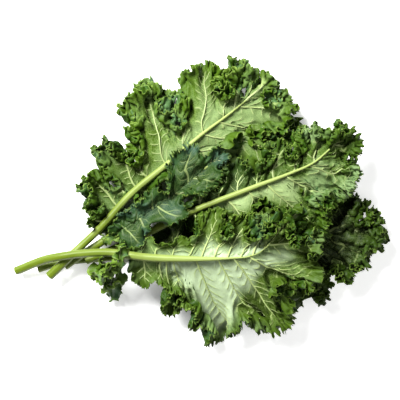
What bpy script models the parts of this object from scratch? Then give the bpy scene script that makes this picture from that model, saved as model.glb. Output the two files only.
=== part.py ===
"""A bunch of five curly kale leaves, lying in a loose fan on a table.

Each leaf is a thin ruffled blade that grows along a tapering stalk. The pieces are
laid one after another, and each is lifted just enough to clear the pieces under it.
The tables below are in millimetres. The model is in metres, with +Z up.
"""

import math
from typing import NamedTuple

import bmesh
import bpy
import numpy as np
from mathutils import Matrix, Vector
from mathutils.bvhtree import BVHTree

MM = 0.001

BLADE_THICKNESS = 1.2
PIECE_GAP = 0.5
BLADE_CLEARANCE = 6.0

STALK_SIDES = 10
STALK_RINGS = 26
LIFT_SLOPE = 0.35

BLADE_COLUMNS = 64
BLADE_ROWS = 6
TIP_FAN = 0.85
BLADE_ARCH = 5.0
RUFFLE_LENGTH = 42.0
RUFFLE_HEIGHT = 8.0
LOBE_DEPTH = 0.06
LEAFLET_COLUMNS = 24
LEAFLET_ROWS = 3

PROBE_RADII = (0.0, 4.5, 9.0)
PROBE_DIRECTIONS = 8
LIFT_SMOOTHING = 4

GREENS = {
    "stalk": (0.50, 0.62, 0.20),
    "pale": (0.36, 0.48, 0.25),
    "dark": (0.08, 0.19, 0.06),
    "teal": (0.10, 0.22, 0.14),
    "olive": (0.20, 0.30, 0.08),
}


class Leaf(NamedTuple):
    """One leaf: its stalk from the cut end to the tip, and the two margins of its blade.

    A stalk point is (x, y, z, radius), and a margin point is (x, y, z), from the blade's
    foot to its tip. blade_from is the share of the stalk that is bare.
    """

    name: str
    stalk: list
    blade_from: float
    left: list
    tip: tuple
    right: list
    upper_side_up: bool
    colour: str
    ruffle_phase: float


LEAVES = [
    Leaf(
        name="right",
        stalk=[(-178, -71, 4.6, 4.5), (-150, -63, 4.6, 4.5), (-96, -58, 4.8, 4.3),
               (-43, -54, 6, 4.0), (21, -47, 10, 3.4), (96, -39, 14, 2.4),
               (144, -32, 16, 1.5), (163, -29, 15, 1.0)],
        blade_from=0.44,
        left=[(-14, -32, 9), (5, -4, 10), (48, 10, 13), (96, 20, 13), (144, 24, 12),
              (179, 9, 12), (190, -13, 12)],
        tip=(202, -43, 10),
        right=[(-12, -75, 8), (16, -96, 8), (59, -106, 7), (105, -108, 7), (141, -104, 7),
               (171, -92, 8), (187, -66, 9)],
        upper_side_up=True,
        colour="dark",
        ruffle_phase=0.3,
    ),
    Leaf(
        name="left",
        stalk=[(-164, -78, 19, 4.9), (-148, -63, 23, 4.6), (-134, -50, 23.5, 4.2),
               (-107, -24, 21, 4.0), (-75, 11, 21, 3.8), (-36, 43, 24, 3.2),
               (0, 74, 26, 2.2), (27, 94, 26, 1.6), (48, 111, 24, 1.0)],
        blade_from=0.27,
        left=[(-124, -9, 10), (-133, 9, 8), (-120, 30, 11), (-120, 46, 8), (-93, 86, 9),
              (-59, 135, 9), (-30, 118, 15), (0, 152, 9), (41, 153, 10), (79, 135, 10)],
        tip=(96, 111, 10),
        right=[(-83, -24, 9), (-54, -13, 10), (-21, 0, 10), (24, 13, 10), (66, 34, 10),
               (98, 54, 9), (106, 83, 9)],
        upper_side_up=False,
        colour="pale",
        ruffle_phase=1.9,
    ),
    Leaf(
        name="middle",
        stalk=[(-125, -62, 14, 4.2), (-102, -52, 15, 4.1), (-65, -35, 18, 4.0),
               (-27, -16, 30, 3.6), (0, -4, 39, 3.2), (54, 17, 50, 2.8), (91, 31, 52, 2.0),
               (118, 43, 50, 1.5), (137, 59, 47, 1.0)],
        blade_from=0.40,
        left=[(-16, 8, 30), (0, 32, 32), (34, 45, 34), (68, 56, 34), (107, 73, 32),
              (131, 71, 30), (154, 87, 26)],
        tip=(169, 54, 24),
        right=[(-14, -24, 32), (13, -34, 36), (54, -32, 38), (94, -36, 36), (131, -41, 28),
               (156, -17, 24), (170, 15, 22)],
        upper_side_up=False,
        colour="pale",
        ruffle_phase=0.8,
    ),
    Leaf(
        name="inner",
        stalk=[(-148, -68, 12.4, 4.2), (-126, -53, 14, 4.2), (-102, -38, 16, 4.0),
               (-70, -18, 26, 3.4), (-37, 4, 34, 2.6), (-5, 30, 38, 1.7),
               (13, 45, 38, 1.0)],
        blade_from=0.30,
        left=[(-92, -20, 24), (-79, 0, 30), (-51, 19, 34), (-36, 51, 36), (-15, 62, 38)],
        tip=(15, 66, 36),
        right=[(-77, -46, 24), (-54, -34, 28), (-21, -17, 36), (6, 6, 42), (34, 36, 42)],
        upper_side_up=True,
        colour="teal",
        ruffle_phase=2.6,
    ),
    Leaf(
        name="front",
        stalk=[(-201, -73, 10, 4.6), (-171, -61, 21, 4.5), (-148, -56, 30, 4.4),
               (-125, -53, 36, 4.3), (-96, -52, 40, 4.2), (-54, -57, 46, 4.2),
               (0, -58, 56, 3.5), (32, -57, 61, 1.9), (54, -54, 63, 1.4),
               (70, -43, 64, 1.2), (83, -24, 64, 0.9)],
        blade_from=0.42,
        left=[(-62, -42, 42), (-43, -21, 46), (9, -6, 56), (41, -11, 58), (77, -9, 56),
              (105, -9, 52)],
        tip=(128, -36, 44),
        right=[(-77, -90, 24), (-43, -116, 14), (-17, -127, 9), (9, -142, 9),
               (51, -148, 9), (96, -135, 10), (126, -105, 16), (133, -68, 28)],
        upper_side_up=False,
        colour="pale",
        ruffle_phase=1.2,
    ),
]


class Leaflet(NamedTuple):
    """A small blade with no stalk of its own: points (x, y, z, half_width) along its middle."""

    name: str
    middle: list
    colour: str


LEAFLETS = [
    Leaflet(
        name="crossing_leaflet",
        middle=[(-88, -38, 38, 9), (-84, -54, 43, 7), (-89, -68, 36, 6), (-93, -84, 22, 11),
                (-98, -102, 6, 5)],
        colour="olive",
    ),
    Leaflet(
        name="curled_leaflet",
        middle=[(-92, -60, 16, 3), (-96, -68, 12, 5), (-104, -76, 6, 7), (-112, -74, 4, 3)],
        colour="olive",
    ),
]


def smooth_curve(points, count):
    """count points, evenly spaced along a smooth curve through the given ones."""
    knots = np.array(points, float)
    padded = np.vstack([2 * knots[0] - knots[1], knots, 2 * knots[-1] - knots[-2]])
    share = np.linspace(0, 1, 12, endpoint=False)[:, None]
    runs = []
    for before, start, end, after in zip(padded, padded[1:], padded[2:], padded[3:]):
        slope_in = (end - before) / 2
        slope_out = (after - start) / 2
        rise = end - start
        runs.append(
            start + slope_in * share
            + (3 * rise - 2 * slope_in - slope_out) * share**2
            + (slope_in + slope_out - 2 * rise) * share**3
        )
    dense = np.vstack(runs + [knots[-1:]])
    steps = np.linalg.norm(np.diff(dense[:, :3], axis=0), axis=1)
    length = np.concatenate([[0], np.cumsum(steps)])
    even = np.linspace(0, length[-1], count)
    return np.stack([np.interp(even, length, column) for column in dense.T], axis=1)


class Heap:
    """The pieces laid so far, and how high they reach at a place."""

    def __init__(self):
        self.trees = []

    def add(self, bm):
        self.trees.append(BVHTree.FromBMesh(bm))

    def height(self, x, y, below=1000.0):
        """The highest surface at (x, y) that lies under the height below, or the table."""
        top = 0.0
        for tree in self.trees:
            hit = tree.ray_cast(Vector((x, y, below)), Vector((0, 0, -1)))[0]
            if hit:
                top = max(top, hit.z)
        return top

    def height_around(self, x, y, radii=PROBE_RADII, below=1000.0):
        """The highest surface within the largest radius of (x, y)."""
        top = 0.0
        for radius in radii:
            for k in range(PROBE_DIRECTIONS if radius else 1):
                turn = 2 * math.pi * k / PROBE_DIRECTIONS
                place = (x + radius * math.cos(turn), y + radius * math.sin(turn))
                top = max(top, self.height(*place, below))
        return top


def lay_stalk(leaf, heap):
    """The stalk's rings as (x, y, z, radius), lifted clear of what lies under them."""
    route = smooth_curve(leaf.stalk, STALK_RINGS)
    bare = int(leaf.blade_from * (STALK_RINGS - 1))
    lift = np.zeros(STALK_RINGS)
    for k, (x, y, z, radius) in enumerate(route):
        below = z if k < bare else 1000.0
        reach = (0.0, radius, radius + 1.5)
        top = heap.height_around(x, y, reach, below)
        lift[k] = max(0.0, top + PIECE_GAP + radius - z)
    spacing = np.linalg.norm(route[1, :3] - route[0, :3])
    for k in range(1, STALK_RINGS):
        lift[k] = max(lift[k], lift[k - 1] - LIFT_SLOPE * spacing)
    for k in reversed(range(STALK_RINGS - 1)):
        lift[k] = max(lift[k], lift[k + 1] - LIFT_SLOPE * spacing)
    route[:, 2] += lift
    return route


def stalk_mesh(route):
    """A closed tapering tube around the route, cut off square at its thick end."""
    bm = bmesh.new()
    rings = []
    ahead = np.gradient(route[:, :3], axis=0)
    for (x, y, z, radius), direction in zip(route, ahead):
        forward = Vector(direction).normalized()
        side = forward.cross(Vector((0, 0, 1))).normalized()
        upward = side.cross(forward)
        ring = []
        for k in range(STALK_SIDES):
            turn = 2 * math.pi * (k + 0.5) / STALK_SIDES
            offset = side * math.cos(turn) + upward * math.sin(turn)
            ring.append(bm.verts.new(Vector((x, y, z)) + offset * radius))
        rings.append(ring)
    for ring, following in zip(rings, rings[1:]):
        for k in range(STALK_SIDES):
            after = (k + 1) % STALK_SIDES
            bm.faces.new((ring[k], ring[after], following[after], following[k]))
    bm.faces.new(rings[0])
    bm.faces.new(rings[-1])
    bmesh.ops.recalc_face_normals(bm, faces=bm.faces)
    return bm


def sheet_grid(columns, rows, place):
    """A grid bent into a sheet: place(along, across) gives each point, both from 0 to 1."""
    bm = bmesh.new()
    bmesh.ops.create_grid(bm, x_segments=columns, y_segments=rows, size=0.5)
    for vert in bm.verts:
        vert.co = place(vert.co.x + 0.5, vert.co.y + 0.5)
    bmesh.ops.remove_doubles(bm, verts=bm.verts, dist=0.01)
    return bm


def ruffled_blade(leaf, route):
    """The blade's middle surface, from the stalk's route out to both margins."""
    side = 1 if leaf.upper_side_up else -1
    stalk = smooth_curve(route, 200)
    left = smooth_curve(leaf.left + [leaf.tip], 120)
    right = smooth_curve(leaf.right + [leaf.tip], 120)
    margin_length = sum(
        np.linalg.norm(np.diff(margin, axis=0), axis=1).sum() for margin in (left, right)
    )
    ruffles = round(margin_length / RUFFLE_LENGTH)

    def place(along, across):
        climb = 1 - abs(2 * along - 1)
        margin = left if along < 0.5 else right
        edge = margin[round(climb * (len(margin) - 1))]
        share = leaf.blade_from + (1 - leaf.blade_from) * min(1, climb / TIP_FAN)
        x, y, z, radius = stalk[round(share * (len(stalk) - 1))]
        foot = np.array([x, y, z + side * (radius + PIECE_GAP + BLADE_THICKNESS / 2)])
        wave = 2 * math.pi * ruffles * along + leaf.ruffle_phase
        point = foot + (edge - foot) * across * (1 + LOBE_DEPTH * across * math.cos(wave))
        point[2] += BLADE_ARCH * math.sin(math.pi * across)
        point[2] += RUFFLE_HEIGHT * across**2 * math.sin(wave)
        return point

    return sheet_grid(BLADE_COLUMNS, BLADE_ROWS, place)


def leaflet_sheet(leaflet):
    """A leaflet's middle surface, cupped along its length."""
    middle = smooth_curve(leaflet.middle, LEAFLET_COLUMNS + 1)
    ahead = np.gradient(middle[:, :3], axis=0)

    def place(along, across):
        step = round(along * LEAFLET_COLUMNS)
        x, y, z, half_width = middle[step]
        sideways = Vector((-ahead[step][1], ahead[step][0], 0)).normalized()
        reach = (2 * across - 1) * half_width
        cup = 0.15 * half_width * math.cos(math.pi * (across - 0.5))
        return Vector((x, y, z + cup)) + sideways * reach

    return sheet_grid(LEAFLET_COLUMNS, LEAFLET_ROWS, place)


def lift_clear(bm, heap):
    """Raises a sheet's points above the heap and the table, without spikes."""
    lift = {}
    for vert in bm.verts:
        top = heap.height_around(vert.co.x, vert.co.y)
        clearance = BLADE_CLEARANCE if top > 0 else 0.0
        lift[vert] = max(0.0, top + clearance + BLADE_THICKNESS / 2 - vert.co.z)
    for _ in range(LIFT_SMOOTHING):
        around = {
            vert: sum(lift[edge.other_vert(vert)] for edge in vert.link_edges)
            / len(vert.link_edges)
            for vert in bm.verts
        }
        lift = {vert: max(lift[vert], around[vert]) for vert in bm.verts}
    for vert in bm.verts:
        vert.co.z += lift[vert]


def thicken(bm):
    """Gives a sheet its thickness, half of it to each side, with a closed rim."""
    bmesh.ops.recalc_face_normals(bm, faces=bm.faces)
    bm.normal_update()
    for vert in bm.verts:
        vert.co -= vert.normal * BLADE_THICKNESS / 2
    bm.normal_update()
    bmesh.ops.solidify(bm, geom=bm.faces, thickness=-BLADE_THICKNESS)
    bmesh.ops.recalc_face_normals(bm, faces=bm.faces)


def green(name):
    """A plain leaf-green material."""
    material = bpy.data.materials.get(name) or bpy.data.materials.new(name)
    material.use_nodes = True
    shader = material.node_tree.nodes["Principled BSDF"]
    shader.inputs["Base Color"].default_value = (*GREENS[name], 1)
    shader.inputs["Roughness"].default_value = 0.55
    shader.inputs["Metallic"].default_value = 0.0
    return material


def add_object(name, bm, colour):
    """An object with the mesh, in metres."""
    bm.transform(Matrix.Scale(MM, 4))
    mesh = bpy.data.meshes.new(name)
    bm.to_mesh(mesh)
    mesh.shade_smooth()
    mesh.materials.append(green(colour))
    piece = bpy.data.objects.new(name, mesh)
    bpy.context.scene.collection.objects.link(piece)
    return piece


def lay_leaf(leaf, heap):
    """Lays one leaf on the heap. The rib stands out on the blade's underside."""
    flat_route = smooth_curve(leaf.stalk, STALK_RINGS)
    meshes = {}

    def lay_blade(route):
        blade = ruffled_blade(leaf, route)
        lift_clear(blade, heap)
        thicken(blade)
        heap.add(blade)
        meshes[leaf.name + "_blade"] = blade

    if not leaf.upper_side_up:
        lay_blade(flat_route)
    route = lay_stalk(leaf, heap)
    stalk = stalk_mesh(route)
    heap.add(stalk)
    meshes[leaf.name + "_stalk"] = stalk
    if leaf.upper_side_up:
        lay_blade(route)
    return meshes


def settle_on_table(pieces):
    """Centres the bunch over the origin, with its lowest point on the table."""
    corners = np.array([vert.co for piece in pieces for vert in piece.data.vertices])
    low = corners.min(axis=0)
    high = corners.max(axis=0)
    shift = Vector((-(low[0] + high[0]) / 2, -(low[1] + high[1]) / 2, -low[2]))
    for piece in pieces:
        for vert in piece.data.vertices:
            vert.co += shift


def main():
    for old in list(bpy.data.objects):
        bpy.data.objects.remove(old)
    heap = Heap()
    pieces = []
    for leaf in LEAVES:
        for name, bm in lay_leaf(leaf, heap).items():
            colour = "stalk" if name.endswith("_stalk") else leaf.colour
            pieces.append(add_object(name, bm, colour))
    for leaflet in LEAFLETS:
        sheet = leaflet_sheet(leaflet)
        lift_clear(sheet, heap)
        thicken(sheet)
        heap.add(sheet)
        pieces.append(add_object(leaflet.name, sheet, leaflet.colour))
    settle_on_table(pieces)


main()
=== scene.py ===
"""The looks of a bunch of five curly kale leaves, lying on a pale table.

Each packed blade is a plain ruffled sheet. Here it becomes a living leaf: a sheet of the
same outline is laid over it and cut into lobes, its margin grows longer step by step, and
the sheet buckles into frills, as a real kale leaf does. Then come the veins, which follow
the sheet, and the stalks. Lengths are in metres, and in millimetres where a name says so.
"""

import math
from typing import NamedTuple

import bmesh
import bpy
import numpy as np
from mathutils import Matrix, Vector
from mathutils.bvhtree import BVHTree


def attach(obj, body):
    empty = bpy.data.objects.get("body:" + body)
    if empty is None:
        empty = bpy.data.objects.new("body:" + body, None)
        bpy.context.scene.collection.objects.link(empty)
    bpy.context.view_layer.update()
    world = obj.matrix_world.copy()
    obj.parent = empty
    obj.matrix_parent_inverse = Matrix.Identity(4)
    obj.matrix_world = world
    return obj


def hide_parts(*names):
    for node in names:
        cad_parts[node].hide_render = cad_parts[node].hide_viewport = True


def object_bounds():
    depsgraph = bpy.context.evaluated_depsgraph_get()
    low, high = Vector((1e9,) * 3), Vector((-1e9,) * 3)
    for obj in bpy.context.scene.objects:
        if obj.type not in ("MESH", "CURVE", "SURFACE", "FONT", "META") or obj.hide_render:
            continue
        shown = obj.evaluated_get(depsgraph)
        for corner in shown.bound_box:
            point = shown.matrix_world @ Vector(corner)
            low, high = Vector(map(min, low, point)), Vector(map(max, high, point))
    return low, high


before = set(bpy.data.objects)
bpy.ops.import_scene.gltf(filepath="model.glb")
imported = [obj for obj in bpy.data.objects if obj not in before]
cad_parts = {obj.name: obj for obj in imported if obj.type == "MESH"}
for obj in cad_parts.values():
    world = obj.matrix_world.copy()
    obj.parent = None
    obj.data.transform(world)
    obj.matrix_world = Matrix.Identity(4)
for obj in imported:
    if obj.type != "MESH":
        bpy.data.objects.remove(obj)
CAD_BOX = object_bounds()

MM = 0.001

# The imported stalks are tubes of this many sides. Corners this close are one.
CAD_STALK_SIDES = 10
CAD_JOIN = 0.02 * MM


class Lobe(NamedTuple):
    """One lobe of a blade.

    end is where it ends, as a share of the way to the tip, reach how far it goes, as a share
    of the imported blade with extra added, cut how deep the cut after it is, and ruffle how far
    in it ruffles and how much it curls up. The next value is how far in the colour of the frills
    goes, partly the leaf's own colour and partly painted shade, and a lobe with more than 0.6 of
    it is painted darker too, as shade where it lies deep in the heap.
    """

    end: float
    reach: float
    cut: float
    ruffle: float = 1.0
    green: float = 0.0
    extra: float = 0.0


def lobed(*rows):
    """The lobes of one side of a blade, from its foot to its tip."""
    return [Lobe(*row) for row in rows]


class Leaf(NamedTuple):
    """How one leaf grows.

    bare is the share of its stalk below the blade, columns the sheet's columns around the
    margin at the start, the last lobe of each side is half the tip, frill is how wide its
    frills are, curl the angle that its margin turns up by, and slim the share that its midrib
    loses of its packed radius towards the tip.
    """

    name: str
    slot: str
    underside_up: bool
    bare: float
    columns: int
    left_lobes: list
    right_lobes: list
    frill: float
    curl: float
    seed: int
    slim: float = 0.2


# From the table upwards.
LEAVES = [
    # The right leaf's first left lobe reaches 30 mm further, under the dark hollow in the middle of
    # the heap, where its very dark colour stands in for the hollow's shade as painted shade.
    Leaf(
        name="right", slot="dark_blade", underside_up=False, bare=0.36, columns=192,
        left_lobes=lobed((0.2, 1.0, 0.15, 0.4, 0, 30 * MM), (0.4, 0.95, 0.3), (0.6, 0.95, 0.35),
                         (0.8, 0.83, 0.3), (1, 0.93, 0)),
        right_lobes=lobed((0.2, 0.9, 0.3), (0.38, 0.74, 0.2), (0.6, 0.98, 0.2), (0.8, 0.85, 0.15),
                          (1, 0.95, 0)),
        frill=1.5, curl=1.4, seed=3,
    ),
    Leaf(
        name="left", slot="pale_blade", underside_up=True, bare=0.27, columns=256,
        left_lobes=lobed((0.06, 0.6, 0.1, 1, 0.8), (0.16, 0.97, 0.45, 1, 0.8),
                         (0.28, 0.96, 0.5, 1, 0.8), (0.475, 1.03, 0.5, 1, 0.5),
                         (0.69, 1.05, 0.5, 0.8, 0.2), (0.8, 1.0, 0.45), (1, 0.9, 0)),
        right_lobes=lobed((0.15, 0.9, 0.3), (0.3, 0.9, 0.3), (0.5, 0.9, 0.35), (0.66, 0.88, 0.4),
                          (0.85, 0.98, 0.3), (1, 0.9, 0)),
        frill=0.62, curl=1.3, seed=5,
    ),
    Leaf(
        name="middle", slot="pale_blade", underside_up=True, bare=0.40, columns=256,
        left_lobes=lobed((0.2, 0.9, 0.3, 0.8, 1.1), (0.4, 0.9, 0.35, 0.8, 1.1),
                         (0.58, 1.0, 0.4, 0.9, 0.8), (0.8, 1.27, 0.15, 1.2, 0.4),
                         (1, 0.85, 0, 1.2, 0.6)),
        right_lobes=lobed((0.13, 0.6, 0.2, 1, 0.6), (0.35, 1.0, 0.35, 1, 0.4),
                          (0.55, 1.0, 0.4, 1.1, 0.3), (0.78, 0.86, 0.05, 1.3, 0.6),
                          (1, 0.87, 0, 1.2, 0.7)),
        frill=0.62, curl=1.5, seed=8,
    ),
    Leaf(
        name="inner", slot="teal_blade", underside_up=False, bare=0.30, columns=192,
        left_lobes=lobed((0.2, 0.9, 0.4, 0.8), (0.45, 0.95, 0.5, 0.7), (0.75, 1.05, 0.5, 0.65),
                         (1, 1.0, 0, 0.7)),
        right_lobes=lobed((0.22, 1.3, 0.3, 0.7), (0.5, 1.0, 0.45, 0.6), (0.78, 0.95, 0.4, 0.7),
                          (1, 1.0, 0, 0.7)),
        frill=0.35, curl=0.5, seed=13,
    ),
    Leaf(
        name="front", slot="pale_blade", underside_up=True, bare=0.42, columns=256,
        left_lobes=lobed((0.14, 0.6, 0.1, 0.3, 0.3, 11 * MM), (0.31, 0.5, 0.2, 0.3, 0.1),
                         (0.43, 1.0, 0.35, 0.5, 0.2), (0.56, 1.0, 0.4, 0.6, 0.2),
                         (0.68, 1.0, 0.35, 0.8), (0.84, 1.0, 0.35, 1.3, 0.3),
                         (1, 0.95, 0, 1.7, 0.7)),
        right_lobes=lobed((0.17, 0.69, 0.3, 0.3, 0.5), (0.23, 0.9, 0.4, 0.6, 0.2),
                          (0.45, 1.03, 0.25, 0.8), (0.6, 0.95, 0.35, 1, 0.6),
                          (0.8, 0.87, 0.35, 1.3, 0.5), (1, 0.95, 0, 1.7, 0.7)),
        frill=0.62, curl=1.4, seed=21, slim=0.6,
    ),
]

# Small leaflets that lie on the heap.
LEAFLETS = [
    Leaf(
        name="crossing", slot="olive_leaflet", underside_up=False, bare=0.0, columns=16,
        left_lobes=lobed((0.5, 0.9, 0.5), (1, 1.1, 0)),
        right_lobes=lobed((0.45, 0.9, 0.5), (1, 1.1, 0)),
        frill=0.10, curl=0.3, seed=34,
    ),
    Leaf(
        name="curled", slot="olive_leaflet", underside_up=False, bare=0.0, columns=16,
        left_lobes=lobed((0.5, 0.65, 0.3), (1, 0.7, 0)),
        right_lobes=lobed((0.5, 0.65, 0.3), (1, 0.7, 0)),
        frill=0.12, curl=0.8, seed=55,
    ),
]
LEAFLET_FIRST_STAGE = 2
LEAFLET_RIB_RADIUS = 0.8 * MM
LEAFLET_RIB_STEP = 8
LEAFLET_LINE_STEPS = 9

# The sheet: rows from the midrib to the margin, and the directions that its columns take.
START_ROWS = 10
ROW_CROWDING = 1.25
TIP_FAN = 0.82
VEIN_ANGLE_AT_FOOT = 98
VEIN_ANGLE_AT_TIP = 40
VEIN_SWEEP = 0.22
SWEEP_FADE = 0.6
FOOT_TAPER = 0.07
OUTLINE_RAYS = 600
OUTLINE_SMOOTHING = 9
HIDDEN_DETAIL = 0.4
MIDRIB_BLEND = 12 * MM

# The midrib's heading is taken from this far behind to this far ahead, as shares of its line.
HEADING_BEHIND = 0.05
HEADING_AHEAD = 0.03

# In shares of a lobe: the soft change from its values to the next lobe's, the half width of
# the cut between them, and what the tip's lobe lacks on each side.
LOBE_BLEND = 0.15
CUT_WIDTH = 0.38
TIP_LACK = 0.25

# How wide the band is that curls up, how much of it lies inside the margin, and how much the
# angle varies along the margin, over how many columns.
CURL_WIDTH = 26 * MM
CURL_START = 0.75
CURL_SPREAD = 0.8
CURL_STEPS = (14, 1)

# Rows from the midrib out that get a finer mesh: first row, cuts of each edge.
FINER_ROWS = [(18, 1), (24, 1), (29, 1), (35, 1)]
SAME_ROW = 1e-5
BLADE_THICKNESS = 0.5 * MM

# How deep the teeth of the margin are cut, and how far the cuts draw the tissue in. Each size
# of tooth has its columns and its share of the depth.
NOTCH = 3.0 * MM
NOTCH_ZONE = 7 * MM
SMALL_TEETH, SMALL_SHARE = (2, 1), 0.55
LARGE_TEETH, LARGE_SHARE = (7, 1), 0.65
DEEPEST_SHARE = 1.4
MARGIN_ROWS = 5

# How far the tissue bulges between the veins, and where that starts and is full, in from the
# margin and out from the midrib.
PUCKER = 1.2 * MM
PUCKER_WIDTH = 3.5 * MM
PUCKER_IN = (3 * MM, 14 * MM)
PUCKER_OUT = (2 * MM, 7 * MM)


class Stage(NamedTuple):
    """One stage of growth.

    double says which ways the grid is doubled (columns, rows), band how deep the growing band
    is, growth how much longer the margin gets, swell how much wider the band, and bend how
    stiff the sheet is. wave is the height of the first waves, spread the columns and rows to
    each free value of theirs, and leash how far a point may go from where it was.
    """

    double: tuple
    band: float
    growth: float
    swell: float
    steps: int
    bend: float
    wave: float
    spread: tuple
    leash: float


STAGES = [
    Stage((0, 0), 60 * MM, 0.20, 0.0, 120, 0.60, 3.0 * MM, (5, 4), 10 * MM),
    Stage((0, 1), 46 * MM, 0.25, 0.0, 90, 0.35, 2.0 * MM, (3, 5), 7 * MM),
    Stage((1, 0), 36 * MM, 0.35, 0.08, 70, 0.20, 1.5 * MM, (3, 4), 5 * MM),
    Stage((1, 0), 28 * MM, 0.45, 0.15, 60, 0.12, 1.2 * MM, (3, 3), 3.6 * MM),
    Stage((1, 1), 20 * MM, 0.50, 0.20, 50, 0.08, 0.9 * MM, (3, 4), 2.6 * MM),
    Stage((1, 0), 13 * MM, 0.60, 0.20, 40, 0.05, 0.8 * MM, (2, 3), 2.2 * MM),
]
SHEAR_STIFFNESS = 0.6
MOMENTUM = 0.85
EAGERNESS = 1.5

# The leash is full at the margin, and shortest past a band this much wider than the growing one.
SHORTEST_LEASH = 1 * MM
LEASH_BAND = 1.2

# Veins: the first ones run along the lobes, and the side veins leave them slantwise. Those of
# each lobe vein start a share of their spacing further down than those of the one before, and
# fade towards the next lobe vein, from a share of the way on. The two rows of side veins of a
# lobe vein are staggered by a share of their spacing each way.
SIDE_VEIN_SPACING = 9 * MM
SIDE_VEIN_SLANT = 0.9
SIDE_VEIN_SHIFT = 0.38
SIDE_VEIN_END = 0.34
SIDE_VEIN_STAGGER = 0.25
VEINS_PER_LOBE = 2

# The veins as tubes: radius at the start, how much of it goes by the end, and the step along.
VEIN_RADIUS = 1.05 * MM
VEIN_TAPER = 0.75
VEIN_REACH = 0.78
VEIN_STEP = 3.5 * MM
VEIN_RISE = 0.6
SHORTEST_VEIN = 4
SIDE_VEIN_RADIUS = 0.36 * MM
SIDE_VEIN_TAPER = 0.035
SIDE_VEIN_THINNEST = 0.12 * MM
SIDE_VEIN_STEP = 2.5 * MM
SIDE_VEIN_OVERSHOOT = 0.06
SIDE_VEIN_LOWEST = 0.02
SIDE_VEIN_MARGIN = 5 * MM

# How far the veins stray: sideways, in shares of the way between two, and the side veins
# along them. Neither strays by the midrib, and the steps are the columns and rows to each
# free value.
VEIN_STRAY = 0.10
VEIN_STRAY_STEPS = (8, 3)
VEIN_STRAY_FROM = 15 * MM
SIDE_VEIN_STRAY = 3.5 * MM
SIDE_VEIN_STRAY_STEPS = (5, 3)
SIDE_VEIN_STRAY_FROM = 10 * MM

# The way from one vein to the next counts as no less and no more than this, and the vein count
# as gaining at least a thousandth with each column.
NARROWEST_PACE = 8 * MM
WIDEST_PACE = 60 * MM
LEAST_STEP = 1e-3

# Lengths and areas added to a divisor, so that it is never zero.
TINY = 1e-9
TINY_AREA = 1e-12


def placed(name, data):
    """A new object of the scene, at the origin."""
    thing = bpy.data.objects.new(name, data)
    bpy.context.scene.collection.objects.link(thing)
    return thing


def smoothstep(low, high, x):
    t = np.clip((x - low) / (high - low), 0, 1)
    return t * t * (3 - 2 * t)


def lengths(vectors):
    return np.sqrt((vectors * vectors).sum(axis=-1))


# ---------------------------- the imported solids


def merged(node):
    """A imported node's mesh with its loose triangles joined."""
    bm = bmesh.new()
    bm.from_mesh(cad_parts[node].data)
    bmesh.ops.remove_doubles(bm, verts=bm.verts, dist=CAD_JOIN)
    return bm


def stalk_line(node):
    """The centre and radius of each ring of a packed stalk, from its cut end to its tip."""
    bm = merged(node)
    points = np.array([vert.co[:] for vert in bm.verts])
    chord = points[points[:, 0].argmax()] - points[points[:, 0].argmin()]
    rings = points[np.argsort(points @ chord)].reshape(-1, CAD_STALK_SIDES, 3)
    centres = rings.mean(axis=1)
    radii = lengths(rings - centres[:, None]).mean(axis=1)
    return np.column_stack([centres, radii])


def leaflet_line(node):
    """The middle of a packed leaflet, from its upper end to its lower one."""
    bm = merged(node)
    points = np.array([vert.co[:] for vert in bm.verts])
    middle = points.mean(axis=0)
    chord = np.linalg.svd(points - middle)[2][0]
    chord *= -np.sign(chord[2])
    way = points @ chord
    bands = np.linspace(way.min(), way.max(), LEAFLET_LINE_STEPS + 1)
    return np.array([points[(way >= low) & (way <= high)].mean(axis=0)
                     for low, high in zip(bands, bands[1:])])


def at_share(line, share):
    """Points at shares of a line's length, from 0 to 1."""
    steps = lengths(np.diff(line[:, :3], axis=0))
    run = np.concatenate([[0], np.cumsum(steps)]) / steps.sum()
    return np.stack([np.interp(share, run, column) for column in line.T], axis=-1)


class Solid:
    """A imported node, probed from above and below."""

    FAR = 1
    FIRST_REACH = 4 * MM
    REACH_STEP = 1.5 * MM
    WIDEST_NOTCH = 9 * MM

    def __init__(self, node):
        bm = merged(node)
        self.tree = BVHTree.FromBMesh(bm)

    def top(self, x, y):
        hit = self.tree.ray_cast(Vector((x, y, self.FAR)), Vector((0, 0, -1)))[0]
        return None if hit is None else hit.z

    def bottom(self, x, y):
        hit = self.tree.ray_cast(Vector((x, y, -self.FAR)), Vector((0, 0, 1)))[0]
        return None if hit is None else hit.z

    def middle(self, x, y):
        top = self.top(x, y)
        return None if top is None else (top + self.bottom(x, y)) / 2

    def reach(self, foot, ahead):
        """How far the blade goes from foot in the direction ahead, over small notches."""
        last = self.FIRST_REACH
        far = last
        while far < last + self.WIDEST_NOTCH:
            x, y = foot[:2] + ahead[:2] * far
            if self.top(x, y) is not None:
                last = far
            far += self.REACH_STEP
        return last


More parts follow.
